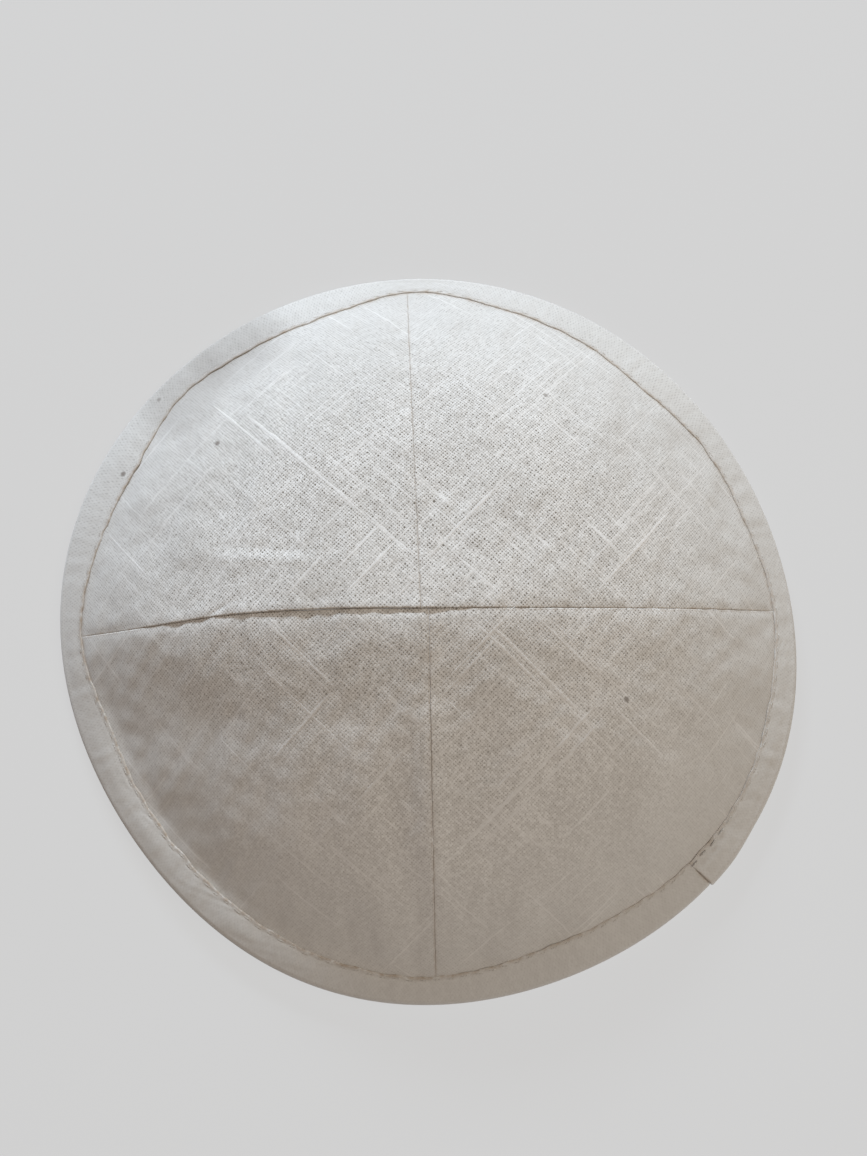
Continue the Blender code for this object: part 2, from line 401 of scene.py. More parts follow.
# Lengths are metres, angles are degrees, and shares of the inner leg go from the cloth's edge upwards
tape = {
    "innerLeg": 0.0075,
    "thickness": 0.00030,
    "hug": 0.00004,  # between the tape and the cloth
    "edgeRoll": 0.00050,
    "puff": 0.00016,
    "puffUneven": (0.35, 23, 0.010, 0.030),
    "stitchPlace": 0.0007,  # from the tape's edge
    "stitchDimple": (0.00006, 0.0004),  # depth and reach
    "crinkle": (0.00003, 25, 0.0025, 0.009),
    "slanting": (0.000018, 26, 0.002, 0.006),  # ripples that cross the tape at a slant
    "slant": (3, -2),
    "wander": (0.00012, 21, 0.004, 0.014),
    "columns": 760,
    "outerRows": (0.0, 0.00003, 0.00010, 0.00020, 0.00032, 0.00055, 0.0008, 0.0010, 0.0012, 0.0014, 0.0017),
    "rows": (10, 16, 12),  # from the last of those to the cloth's edge, round the nose and up the inner leg
    "settled": 0.45,  # share of the inner leg where it has come to lie on the cloth
    "endRound": 0.06,  # share of the inner leg that its rounded end takes
    "lapAngle": -44.5,
    "lapRise": 0.0005,
    "lapLength": 0.0110,
    "lapFall": (0.5, 1.5),  # where the rise fades, by the lap's length
    "lapRound": 0.00035,
    "lapGroove": (0.00014, 0.00018),  # depth and reach
    "lapAcross": (0.20, 0.50),  # shares of the width between which the lap's rise grows
    "lapAtEdge": 0.25,  # and its share at the tape's edge
    # Painted shade along the cut of the lapped end, by that in a seam
    "lapShade": 1.5,
    "cutStep": 0.05,  # between the closer columns at the cut
    "cutColumns": (-8, 15),
    "cutClear": 0.9,
    "weaveTurn": 45.0,
    "turnShare": 0.8,  # of the fold's radius, where the middle of the tape goes round
}
# Width of the tape outside, metres, every 15 degrees from +X towards +Y
tapeWidths = (0.0045, 0.0057, 0.0061, 0.0090, 0.0077, 0.0070, 0.0042, 0.0085, 0.0085, 0.0068, 0.0096,
              0.0082, 0.0057, 0.0070, 0.0060, 0.0060, 0.0060, 0.0057, 0.0053, 0.0069, 0.0072, 0.0063,
              0.0060, 0.0060)

# Painted shade along the tape's edge by that in a seam, every 30 degrees from +X towards +Y
edgeShades = (1.1, 1.2, 1.4, 1.2, 1.3, 1.3, 1.4, 1.6, 1.5, 1.6, 1.0, 1.0)


# Spacing across a panel: steps of 1 less a bell curve, so that they are short by the seam
def panelLines():
    line = np.arange(cloth["gridLines"])
    steps = 1 - bell(line, *cloth["seamCloser"])
    return np.concatenate([[0.0], np.cumsum(steps) / steps.sum()])


# Distance up the slope from the tape's edge: that from the cloth's edge less the tape's width
def besideTape(x, y):
    angle = np.arctan2(y, x)
    fromEdge = (edgeRadius(angle) - np.hypot(x, y)) * cloth["rimSlope"]
    return fromEdge - roundTable(tapeWidths, angle)


# Painted shade beside the tape's edge: its table's value times a bell curve
def edgeShade(distance, angle):
    return bell(distance, 1, cloth["edgeShadeReach"]) * roundTable(edgeShades, angle)


# Small relief of a panel's outside: edges rolled into the seams as quarter circles, cloth drawn in by the
# stitches as a bell curve, puckers that fade as exp(-distance / reach), the raised back edge of the cross
# seam, small creases and uneven cloth. It begins where the tape ends
def panelRelief(x, y, fromCross, fromOther, back, seed):
    relief = 0.0
    for distance, along, depth in ((fromCross, x, 1.0), (fromOther, y, cloth["otherSeams"])):
        roll = cloth["rollRadius"] * depth
        turned = np.clip(roll - distance, 0, roll)
        relief = relief - (roll - np.sqrt(roll * roll - turned * turned))
        relief = relief - depth * bell(distance, *cloth["seamPull"])
        gathers = ripples(along, 0 * along, cloth["pucker"])
        relief = relief + gathers * np.exp(-distance / cloth["puckerReach"])
    over = tableCurve(overhangPlaces, x / rimRadius) * (1 + ripples(x, 0 * x, cloth["overhangUneven"]))
    relief = relief + over * bell(fromCross, *cloth["overhang"]) * cloth["overBack" if back else "overFront"]
    relief = relief + creaseRises(fineCreases, x, y) + ripples(x, y, cloth["unevenness"])
    relief = relief + ripples(x, y, cloth["fineUnevenness"], seed)
    return relief * smoothStep(*cloth["reliefStart"], besideTape(x, y))


# Share of the seams' turned allowances under a place: 1 beside a seam and 0 past their edge
def allowanceShare(x, y):
    low, high = cloth["allowance"] - cloth["allowanceSoft"], cloth["allowance"] + cloth["allowanceSoft"]
    nearCross = 1 - smoothStep(low, high, np.abs(y - crossSeamPlace(x, y)))
    nearOther = 1 - smoothStep(low, high, np.abs(x))
    return np.maximum(nearCross, nearOther)


# Thickness of a panel with its allowances
def clothDepth(x, y):
    return cloth["thickness"] + cloth["allowanceRise"] * allowanceShare(x, y)


# Place on the flat gore: slope length s = r (1 + stretch (r / R)^2), and the angle from the gore's
# middle line shrunk by r / s, with the threads at 45 degrees to the seams
def flatPlace(x, y, right, back, seed):
    radius = np.hypot(x, y) + tiny
    angle = np.arctan2(y * (1 if back else -1), x * (1 if right else -1))
    length = radius * (1 + cloth["flatStretch"] * (radius / rimRadius) ** 2)
    turned = (angle - math.pi / 4) * radius / length
    u, v = length * np.cos(turned), length * np.sin(turned)
    u = u + ripples(x, y, cloth["threadWander"], seed)
    v = v + ripples(x, y, cloth["threadWander"], seed + 1)
    return np.stack([u + cloth["flatApart"] * seed, v], -1)


# A gore as a closed shell: the unit square goes to a quarter of the cap by x = s sqrt(1 - t^2 / 2),
# y = t sqrt(1 - s^2 / 2), so its lines run beside both seams, and an inner copy lies a wall inside it
def clothPanel(name, right, back, seed, finish):
    side, way = (1 if right else -1), (1 if back else -1)
    lines = panelLines()
    s, t = lines[:, None], lines[None, :]
    px, py = s * np.sqrt(1 - t * t / 2), t * np.sqrt(1 - s * s / 2)
    share, angle = np.hypot(px, py), np.arctan2(way * py, side * px)
    drift = shape["backSeamDrift" if back else "frontSeamDrift"]
    cornerX, cornerY = side * cloth["halfGap"] + drift[0] * rimRadius, way * cloth["halfGap"]
    nearSeam = np.abs(np.sin(angle)) ** shape["driftHold"]
    rimX, rimY = edgeRadius(angle) * np.cos(angle), edgeRadius(angle) * np.sin(angle)
    fromCross, fromOther = np.abs(share * rimY), np.abs(share * rimX)
    x = cornerX + share * (rimX + drift[1] * rimRadius * nearSeam - cornerX)
    y = cornerY + share * (rimY - cornerY)
    y = y + crossSeamPlace(x, y)
    normal = surfaceNormal(x, y)
    base = np.stack([x, y, surfaceHeight(x, y)], -1)
    outer = base + normal * panelRelief(x, y, fromCross, fromOther, back, seed)[..., None]
    depth = clothDepth(x, y) + bell(np.minimum(fromCross, fromOther), *cloth["edgeDeeper"])
    inner = base - normal * depth[..., None]
    faces = shellQuads(len(lines))
    if side * way < 0:
        faces = faces[:, ::-1]
    flat = np.tile(flatPlace(x, y, right, back, seed).reshape(-1, 2), (2, 1))[faces]
    points = np.concatenate([outer.reshape(-1, 3), inner.reshape(-1, 3)])
    # Painted shade beside the seams and beside the tape's edge
    closest = np.minimum(fromCross, fromOther * cloth["backShadeCloser" if back else "frontShadeCloser"])
    atSeam = bell(closest, 1, cloth["shadeReach"])
    near = np.maximum(atSeam, edgeShade(besideTape(x, y), np.arctan2(y, x))).ravel()
    near = np.concatenate([near, 0 * near])
    piece = meshPiece(name.replace("panel", "linen_panel"), points, faces, flat, finish, near)
    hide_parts(name)
    return piece


slubShape = {
    "halfWidth": 0.00032,
    "height": 0.00004,
    "sunk": 0.00001,
    "step": 0.00015,
    "taper": 0.0035,
    "uneven": (0.16, 50, 0.004, 0.015),
    "sizeLimits": (0.05, 1.8),
    "seamClear": 0.0007,
    "flatApart": 0.1,  # between the slubs on the flat cloth
    "weaveDip": 0.15,
    "bead": 0.32,  # how much of its pale colour goes where it passes under a thread
    "frontDull": 0.2,  # and towards the front of the cap
    "fibres": (900.0, 16000.0, 2.0),  # to the metre along and across the thread, and their detail
    "fibreRange": (0.15, 0.55),
    "relief": 0.00002,
}
# Thick places of single threads, in millimetres on the flat gore: its middle line is u, from the seams'
# crossing outwards, and v lies across it, to the left of it on the back left and front right gores.
# Columns: the axis that the thread follows, its place on the other axis, start, end, thickness
slubs = {
    "panel_back_left": (
        ("u", 3.0, 46, 72, 0.9), ("u", 6.0, 22, 61, 1.3), ("u", 6.5, 7, 24, 0.9), ("u", 15.0, 15, 31, 0.8),
        ("v", 34.0, 11, 23, 0.8), ("v", 28.0, 17, 27, 0.7), ("v", 46.5, -1, 4, 0.7),
        ("v", 22.0, -7, 5, 0.8), ("v", 18.3, -8, 11, 1.1), ("v", 13.5, -9, 13, 1.2),
        ("v", 22.5, -18, -5, 0.9), ("v", 5.5, -4, 5, 1.0), ("v", 7.0, -2, 5, 0.8), ("v", 45.5, 8, 14, 0.7),
        ("u", -34.0, 51, 72, 0.8), ("u", -20.5, 25, 35, 0.7),
    ),
    "panel_back_right": (
        ("u", 16.5, 35, 49, 1.0), ("u", 11.0, 25, 40, 0.9), ("u", 6.5, 6, 31, 1.2),
        ("u", -5.5, 22, 35, 0.9), ("u", -2.0, 6, 16, 0.9), ("u", -11.5, 13, 25, 0.8),
        ("u", -23.0, 27, 56, 1.1), ("u", -34.0, 38, 47, 0.8), ("v", 19.5, 9, 18, 0.9),
        ("v", 21.0, 5, 16, 0.9), ("v", 22.0, -12, 5, 0.9), ("v", 17.0, 0, 16, 0.8),
        ("v", 12.5, -12, 5, 1.1), ("v", 27.0, -12, -3, 1.0), ("v", 6.0, -5, 5, 0.8),
        ("v", 37.5, -22, -7, 1.0), ("v", 50.5, -4, 16, 0.7), ("v", 27.5, -23, -14, 0.7),
    ),
    "panel_front_left": (
        ("v", 23.5, -23, -1, 1.2), ("v", 31.0, -18, 9, 1.2), ("v", 49.0, -16, -2, 0.8),
        ("v", 43.0, 2, 17, 0.8), ("v", 31.5, 17, 29, 0.9), ("v", 2.0, -2, 3, 1.1), ("u", -2.5, 24, 45, 1.1),
        ("u", 16.0, 16, 42, 1.0), ("u", -26.5, 40, 49, 0.9), ("u", -27.0, 53, 58, 0.8),
    ),
    "panel_front_right": (
        ("v", 13.0, -14, 10, 1.0), ("v", 14.5, -12, 12, 0.9), ("v", 35.5, 3, 18, 0.9),
        ("v", 39.0, -12, 30, 1.2), ("v", 42.0, -12, 28, 1.0), ("v", 54.0, -2, 15, 0.9),
        ("u", -5.0, 6, 34, 1.1), ("u", -6.7, 8, 42, 1.3), ("u", -10.3, 14, 21, 0.8),
        ("u", -14.5, 15, 38, 1.1), ("u", -16.0, 18, 30, 0.8), ("u", -26.5, 28, 38, 0.9),
        ("u", -12.5, 42, 59, 1.0), ("u", 10.0, 12, 31, 0.9), ("u", 18.0, 19, 29, 0.7),
        ("u", -1.0, 31, 42, 0.8), ("u", 14.0, 41, 53, 0.7),
    ),
}


# From the flat gore back to the cap: r (1 + stretch (r / R)^2) = s is solved by repeated division
def capPlace(u, v, right, back, rounds=12):
    length = np.hypot(u, v)
    radius = length
    for _ in range(rounds):
        radius = length / (1 + cloth["flatStretch"] * (radius / rimRadius) ** 2)
    angle = np.arctan2(v, u) * length / np.maximum(radius, tiny) + math.pi / 4
    return radius * np.cos(angle) * (1 if right else -1), radius * np.sin(angle) * (1 if back else -1)


# One slub: rings of six points along its thread, and how far along the thread each ring is. It swells
# from both ends as 1 - exp(-distance / taper) and dips as a cosine where it goes under crossing threads
def slubRings(number, right, back, seed, axis, place, first, last, thickness):
    along = np.arange(first * millimetre, last * millimetre, slubShape["step"])
    across = np.full_like(along, place * millimetre)
    u, v = (along, across) if axis == "u" else (across, along)
    x, y = capPlace(u, v, right, back)
    fromCross, fromOther = np.abs(y - crossSeamPlace(x, y)), np.abs(x)
    inside = np.minimum(fromCross, fromOther) > slubShape["seamClear"]
    x, y, along, fromCross, fromOther = [part[inside] for part in (x, y, along, fromCross, fromOther)]
    relief = panelRelief(x, y, fromCross, fromOther, back, seed)
    normal = surfaceNormal(x, y)
    centre = np.stack([x, y, surfaceHeight(x, y)], -1) + normal * (relief - slubShape["sunk"])[:, None]
    way = np.gradient(centre, axis=0)
    way = way / np.linalg.norm(way, axis=-1, keepdims=True)
    beside = np.cross(normal, way)
    fromEnd = np.minimum(along - along[0], along[-1] - along)
    swell = 1 - np.exp(-fromEnd / slubShape["taper"])
    uneven = ripples(along, 0 * along, slubShape["uneven"], number)
    size = np.clip(thickness * swell * (1 + uneven), *slubShape["sizeLimits"])
    dip = 1 + slubShape["weaveDip"] * np.cos(math.pi * along / linen["threadPitch"])
    halfWidth = slubShape["halfWidth"] * size
    height = slubShape["height"] * size * dip
    rings = (centre[:, None] + (halfWidth[:, None] * np.cos(barTurn))[..., None] * beside[:, None]
             + (height[:, None] * np.sin(barTurn))[..., None] * normal[:, None])
    return rings, along


# All the slubs as one piece of flattened bars
def slubThreads(finish):
    rows = [(right, back, seed, *slub) for name, right, back, seed in panelRows for slub in slubs[name]]
    allPoints, allQuads, allFlat, start = [], [], [], 0
    for number, row in enumerate(rows):
        rings, along = slubRings(number, *row)
        count = len(along)
        quads = barQuads(count)
        run = np.broadcast_to(along[:, None] + slubShape["flatApart"] * number, (count, 6))
        turn = np.broadcast_to(slubShape["halfWidth"] * barTurn, (count, 6))
        allPoints.append(rings.reshape(-1, 3))
        allQuads.append(quads + start)
        allFlat.append(np.stack([run, turn], -1).reshape(-1, 2)[quads])
        start += 6 * count
    piece = meshPiece("slub_threads", np.concatenate(allPoints), np.concatenate(allQuads),
                      np.concatenate(allFlat), finish, smooth=False)
    return piece


# Point up the slope from the cloth's edge and off its outside, in the plane of one ray, by the cosine of
# the slope halfway up
def onLeg(angle, distance, offset, step=1e-5):
    rayX, rayY = np.cos(angle), np.sin(angle)
    edge = edgeRadius(angle)

    def slopeAt(radius):
        inner = surfaceHeight((radius - step) * rayX, (radius - step) * rayY)
        outer = surfaceHeight((radius + step) * rayX, (radius + step) * rayY)
        return np.arctan2(inner - outer, 2 * step)

    radius = edge - distance * np.cos(slopeAt(edge - distance * 0.5))
    lean = slopeAt(radius)
    height = surfaceHeight(radius * rayX, radius * rayY)
    return radius + offset * np.sin(lean), height + offset * np.cos(lean)


# Angle from the cut of the lapped end, from minus half a turn to half a turn
def fromLap(angle):
    return np.mod(angle - math.radians(tape["lapAngle"]) + math.pi, fullTurn) - math.pi


# The lapped end lifts the tape: a quarter circle and a groove at the cut, then a slow fall past the lap
def lapLift(angle):
    along = fromLap(angle) * rimRadius
    rise = quarterRound(along / tape["lapRound"])
    fallStart, fallEnd = tape["lapFall"]
    fall = 1 - smoothStep(fallStart * tape["lapLength"], fallEnd * tape["lapLength"], along)
    return tape["lapRise"] * rise * fall - bell(along, *tape["lapGroove"])


# Angles of the tape's columns: evenly round the rim, but closer together at the cut
def tapeAngles():
    even = np.arange(tape["columns"]) * fullTurn / tape["columns"]
    cut = math.radians(tape["lapAngle"]) % fullTurn
    near = math.radians(tape["cutStep"]) * np.arange(*tape["cutColumns"])
    kept = np.abs(fromLap(even)) > math.radians(tape["cutClear"])
    return np.sort(np.concatenate([even[kept], cut + near]))


# Width of the tape's outer leg, with a small wander
def tapeWidth(angle):
    x, y = np.cos(angle) * rimRadius, np.sin(angle) * rimRadius
    return roundTable(tapeWidths, angle) + ripples(x, y, tape["wander"])


# Height of the tape's outside off the cloth, at a distance e in from its edge: a quarter circle at
# the edge, then a rise to the fold as the square of e / width with a puff sin(pi e / width)^2 between
# and fine ripples, less a dimple along the stitches
def tapeOffset(angle, e, width):
    foldOffset = shape["foldRadius"] - shape["wall"] / 2
    step = tape["hug"] + tape["thickness"]
    share = np.clip(e / width, 0, 1)
    edge = quarterRound(e / tape["edgeRoll"])
    arch = np.sin(math.pi * share)
    x, y = np.cos(angle) * rimRadius, np.sin(angle) * rimRadius
    puff = tape["puff"] * arch ** 2 * (1 + ripples(x, y, tape["puffUneven"]))
    slantX, slantY = tape["slant"]
    slanting = ripples(x + slantX * e, y + slantY * e, tape["slanting"])
    crinkle = ripples(x, y, tape["crinkle"]) * arch ** 0.5 + slanting * edge
    dimple = bell(e - tape["stitchPlace"], *tape["stitchDimple"])
    rise = tape["hug"] + tape["thickness"] * edge + (foldOffset - step) * share ** 2
    return rise + puff + crinkle * edge - dimple


# Radius and height of the tape's section on every ray: down the outside, where inward is the distance
# from the tape's edge, round the nose, up the inside and back along the cloth
def tapeSection(angle, width, inward, lapShare, step=1e-5):
    lift, edge = lapLift(angle), edgeRadius(angle)
    rayX, rayY = np.cos(angle), np.sin(angle)
    foldRadius, wall, hug, thickness = shape["foldRadius"], shape["wall"], tape["hug"], tape["thickness"]
    lapHere = tape["lapAtEdge"] + (1 - tape["lapAtEdge"]) * lapShare
    outerR, outerZ = onLeg(angle, width - inward, tapeOffset(angle, inward, width) + lift * lapHere)
    # The nose is an arc round the middle of the wall's edge, pressed flat where it rests
    high, low = [surfaceHeight((edge - s * step) * rayX, (edge - s * step) * rayY) for s in (3, 1)]
    lean = np.arctan2(high - low, 2 * step)
    centreR = edge - wall / 2 * np.sin(lean)
    centreZ = surfaceHeight(edge * rayX, edge * rayY) - wall / 2 * np.cos(lean)
    _, noseRows, legRows = tape["rows"]
    noseTurn = np.linspace(0, 1, noseRows)[1:-1, None]
    turn = (math.pi / 2 - lean) * (1 - noseTurn) + (-math.pi / 2 - lean) * noseTurn
    noseOut = foldRadius + lift * np.clip(np.cos(turn) + np.sin(turn), 0, 1)
    noseR = centreR + noseOut * np.cos(turn)
    noseZ = np.maximum(centreZ + noseOut * np.sin(turn), 0)
    # The inner leg settles from the fold on to the cloth and ends in a quarter circle
    legShare = np.linspace(0, 1, legRows)[:, None]
    legUp = legShare * tape["innerLeg"]
    clothSide = clothDepth((edge - legUp) * rayX, (edge - legUp) * rayY) + hug
    settle = smoothStep(0, tape["settled"], legShare)
    deepest = wall / 2 + foldRadius
    legDepth = deepest + (clothSide + thickness - deepest) * settle
    endRound = quarterRound((1 - legShare) / tape["endRound"])
    legR, legZ = onLeg(angle, legUp, -(clothSide + (legDepth - clothSide) * endRound))
    # The way back is the same, a thickness nearer to the cloth
    noseInside = foldRadius - thickness
    backDepth = (wall / 2 + noseInside) + (clothSide - wall / 2 - noseInside) * settle
    backR, backZ = onLeg(angle, legUp[::-1], -backDepth[::-1])
    insideTurn = turn[::-1]
    insideR = centreR + noseInside * np.cos(insideTurn)
    insideZ = np.maximum(centreZ + noseInside * np.sin(insideTurn), thickness)
    under = hug + (noseInside - wall / 2 - hug) * (inward / width) ** 2
    underR, underZ = onLeg(angle, (width - inward)[::-1][:-1], under[::-1][:-1])
    r = np.concatenate([outerR, noseR, legR, backR[1:], insideR, underR])
    return r, np.concatenate([outerZ, noseZ, legZ, backZ[1:], insideZ, underZ])


# Place on the flat cloth at each corner of the tape's quads: along the rim and across the section by
# its length, turned so that the weave lies at a slant
def tapeFlat(points, angle, quads):
    middle = points[:, :1]
    steps = np.linalg.norm(np.diff(np.concatenate([middle, middle[:1]]), axis=0), axis=-1)
    across = np.concatenate([[0.0], np.cumsum(steps)])
    around = np.concatenate([angle[0], [angle[0, 0] + fullTurn]]) * rimRadius
    i, j = np.divmod(quads, points.shape[1])
    after = np.stack([j[:, 0], j[:, 1], j[:, 0] + 1, j[:, 0] + 1], -1)
    below = np.stack([i[:, 0], i[:, 0] + 1, i[:, 0] + 1, i[:, 0]], -1)
    run, fall = around[after], across[below]
    sine, cosine = math.sin(math.radians(tape["weaveTurn"])), math.cos(math.radians(tape["weaveTurn"]))
    return np.stack([run * cosine - fall * sine, run * sine + fall * cosine], -1)


# The tape: its section, folded round the cloth's edge, is carried round the rim
def rimBinding(finish):
    angle = tapeAngles()[None, :]
    width = tapeWidth(angle)
    first, last = np.array(tape["outerRows"])[:, None], tape["outerRows"][-1]
    rest = np.linspace(0, 1, tape["rows"][0])[1:, None]
    inward = np.concatenate([first + 0 * width, last + rest * (width - last)])
    lapShare = smoothStep(*tape["lapAcross"], inward / width)
    r, z = tapeSection(angle, width, inward, lapShare)
    points = np.stack([r * np.cos(angle), r * np.sin(angle), z], -1)
    quads = gridQuads(*r.shape, closedColumns=True, closedRows=True)
    # Painted shade along the tape's edge, and at the lapped end's cut
    near = np.zeros(r.shape)
    atCut = bell(fromLap(angle[0]) * rimRadius, 1, cloth["shadeReach"])
    near[:len(inward)] = edgeShade(inward, angle) + tape["lapShade"] * lapShare * atCut
    flat = tapeFlat(points, angle, quads)
    piece = meshPiece("linen_rim_binding", points.reshape(-1, 3), quads, flat, finish, near)
    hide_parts("rim_binding")
    return piece


stitch = {
    "pitch": 0.0029,
    "length": 0.0018,
    "halfWidth": 0.00017,
    "sunk": 0.00005,
    "inFromRim": 0.006,  # how far inside the rim the pitch is measured, past the stitches' place
    "skew": 0.06,
    "seed": 31,
    "flatness": 0.75,
    # Columns: place by half the length, width by the half width
    "rings": ((-1.0, 0.30), (-0.84, 0.80), (-0.40, 1.0), (0.40, 1.0), (0.84, 0.80), (1.0, 0.30)),
    "twist": 9000.0,
    # Painted shade in the grooves of the twist, then the colour of its ridges
    "dark": (0.54, 0.51, 0.47, 1.0),
    "pale": (0.70, 0.68, 0.64, 1.0),
    "relief": 0.00002,
}


# Stitches: each is a short rounded bar of six sides, laid along the tape and half sunk in it. The
# inner row lies half a pitch on from the outer one
def bindingStitches(finish):
    count = int(round(fullTurn * (rimRadius - tape["stitchPlace"] - stitch["inFromRim"]) / stitch["pitch"]))
    angle = np.arange(count) * fullTurn / count
    width = tapeWidth(angle)
    place = np.full(count, tape["stitchPlace"])
    offset = tapeOffset(angle, place, width) + lapLift(angle) - stitch["sunk"]
    outer = onLeg(angle, width - place, offset)
    innerAngle = angle + 0.5 * fullTurn / count
    up = tape["innerLeg"] - tape["stitchPlace"]
    innerEdge = edgeRadius(innerAngle) - up
    depth = clothDepth(innerEdge * np.cos(innerAngle), innerEdge * np.sin(innerAngle)) + tape["hug"]
    inner = onLeg(innerAngle, up, -(depth + tape["thickness"] - stitch["sunk"]))
    angles = np.concatenate([angle, innerAngle])
    r, z = np.concatenate([outer[0], inner[0]]), np.concatenate([outer[1], inner[1]])
    centre = np.stack([r * np.cos(angles), r * np.sin(angles), z], -1)
    away = np.stack([np.cos(angles), np.sin(angles), 0 * angles], -1)
    along = np.stack([-np.sin(angles), np.cos(angles), 0 * angles], -1)
    random = np.random.default_rng(stitch["seed"])
    along = along + random.normal(0, stitch["skew"], len(angles))[:, None] * away
    normal = surfaceNormal(centre[:, 0], centre[:, 1])
    across = np.cross(normal, along)
    ringPlace, ringWidth = np.array(stitch["rings"]).T
    ringPlace = ringPlace * stitch["length"] / 2
    ringWidth = ringWidth[:, None] * stitch["halfWidth"]
    centre, along, across, normal = [part[:, None, None, :] for part in (centre, along, across, normal)]
    rings = (centre + ringPlace[None, :, None, None] * along
             + (ringWidth * np.cos(barTurn))[None, :, :, None] * across
             + (ringWidth * np.sin(barTurn))[None, :, :, None] * stitch["flatness"] * normal)
    each = barQuads(len(ringPlace))
    pointsEach = len(ringPlace) * len(barTurn)
    quads = (each[None] + pointsEach * np.arange(len(angles))[:, None, None]).reshape(-1, 4)
    run = np.broadcast_to(ringPlace[None, :, None], rings.shape[:3])
    turn = np.broadcast_to(barTurn[None, None, :] * stitch["halfWidth"], rings.shape[:3])
    flat = np.stack([run, turn], -1).reshape(-1, 2)
    piece = meshPiece("binding_stitches", rings.reshape(-1, 3), quads, flat[quads], finish)
    return piece


# One number at every point of a surface: operators on it add Math nodes
class Signal:
    def __init__(self, finish, socket):
        self.finish, self.socket = finish, socket

    # An operator, or the one with the plain number first
    def over(operation, turned=False):
        def operate(self, other):
            return self.finish.math(operation, *((other, self) if turned else (self, other)))
        return operate

    __add__ = __radd__ = over("ADD")
    __mul__ = __rmul__ = over("MULTIPLY")
    __sub__, __rsub__ = over("SUBTRACT"), over("SUBTRACT", True)
    __truediv__, __pow__ = over("DIVIDE"), over("POWER")


# A material and the one way that its nodes are made
class Finish:
    def __init__(self, name, constants):
        self.material = bpy.data.materials.new(name)
        self.material.use_nodes = True
        self.tree = self.material.node_tree
        self.shader = self.tree.nodes["Principled BSDF"]
        for socket, value in constants.items():
            self.shader.inputs[socket].default_value = value

    def feed(self, socket, value):
        value = value.socket if isinstance(value, Signal) else value
        if isinstance(value, bpy.types.NodeSocket):
            self.tree.links.new(value, socket)
        else:
            socket.default_value = value

    def node(self, kind, settings, sockets):
        made = self.tree.nodes.new("ShaderNode" + kind)
        for name, value in settings.items():
            setattr(made, name, value)
        for name, value in sockets.items():
            self.feed(made.inputs[name], value)
        return made

    def math(self, operation, *values):
        made = self.node("Math", {"operation": operation}, dict(enumerate(values)))
        return Signal(self, made.outputs[0])

    # 0 at low and 1 at high, smooth between
    def smooth(self, value, low, high):
        made = self.node("MapRange", {"interpolation_type": "SMOOTHSTEP"},
                         {"Value": value, "From Min": low, "From Max": high, "To Min": 0.0, "To Max": 1.0})
        return Signal(self, made.outputs["Result"])

    # Soft noise from 0 to 1 at a flat place
    def grain(self, x, y, detail=0.0):
        spot = self.node("CombineXYZ", {}, {"X": x, "Y": y})
        made = self.node("TexNoise", {"noise_dimensions": "2D"},
                         {"Vector": spot.outputs[0], "Scale": 1.0, "Detail": detail})
        return Signal(self, made.outputs[0])

    # One random number for each whole number
    def chance(self, number):
        made = self.node("TexWhiteNoise", {"noise_dimensions": "1D"}, {"W": number})
        return Signal(self, made.outputs["Value"])

    def mix(self, factor, first, second):
        made = self.node("Mix", {"data_type": "RGBA"}, {0: factor, 6: first, 7: second})
        return made.outputs[2]

    def firstTwo(self, place):
        split = self.node("SeparateXYZ", {}, {0: place})
        return Signal(self, split.outputs[0]), Signal(self, split.outputs[1])

    # Place on the flat cloth
    def onCloth(self):
        return self.firstTwo(self.node("UVMap", {"uv_map": "UVMap"}, {}).outputs[0])

    # Place on the cap as seen from above, from the middle of the rim
    def onCap(self):
        return self.firstTwo(self.node("TexCoord", {}, {}).outputs["Object"])

    # The surface's colour, and its relief from a height between 0 and 1 and a depth in metres
    def cover(self, colour, height, relief):
        self.feed(self.shader.inputs["Base Color"], colour)
        bump = self.node("Bump", {}, {"Height": height, "Distance": relief, "Strength": 1.0})
        self.feed(self.shader.inputs["Normal"], bump.outputs[0])
        return self.material


linen = {
    "threadPitch": 0.00055,
    "halfThread": 0.41,  # by the pitch
    "halfThreadSpread": 0.24,
    "slubHalfThread": 0.60,
    "wobble": 0.36,  # of a thread to its sides, by the pitch
    "secondSeed": 57.0,  # between the threads of the two ways
    "threadColour": (0.93, 0.915, 0.885, 1.0),
    "slubColour": (0.94, 0.925, 0.90, 1.0),
    # Painted shade in the gaps between threads and where a thread dips
    "gapShadeColour": (0.20, 0.175, 0.145, 1.0),
    "gapReach": 0.64,
    "staleColour": (0.74, 0.72, 0.685, 1.0),
    "threadTint": 0.20,  # the rest of a crossing's tint is its own
    "crossingStep": 211.0,
    "tintShare": 0.60,
    "patchShare": 0.55,  # of wider patches
    "patches": (38.0, 3.0),  # to the metre, and their detail
    "staleRange": (0.30, 0.85),
    "dullColour": (0.70, 0.685, 0.655, 1.0),  # of the handled cloth towards the rim
    "dullShare": 0.8,
    "seamShadeColour": (0.50, 0.42, 0.34, 1.0),  # painted shade in the seams
    "seamShadeShare": 0.36,
    "shadeSpots": (600.0, 2.0, 4.0, -1.0),  # spots that break up the painted shade: grains to the metre, detail, gain and shift
    "speckColour": (0.16, 0.125, 0.10, 1.0),
    "relief": 0.000036,
    "dipShade": 0.22,  # painted shade: how much darker a thread is where it dips
    "dipShadeTop": 0.9,
    "slubFrom": 0.74,
    "slubTo": 0.84,
    "slubLift": 0.15,
    "slubPale": 0.35,
    "openNear": 0.033,  # the weave is open round the crown and pressed flat towards the rim
    "openFar": 0.082,
    "pressed": 0.62,
    "frontNear": -0.020,  # and flatter again from the cross seam to the front
    "frontFar": 0.050,
    "frontPressed": 0.62,
    "tapeOpen": 0.6,
}
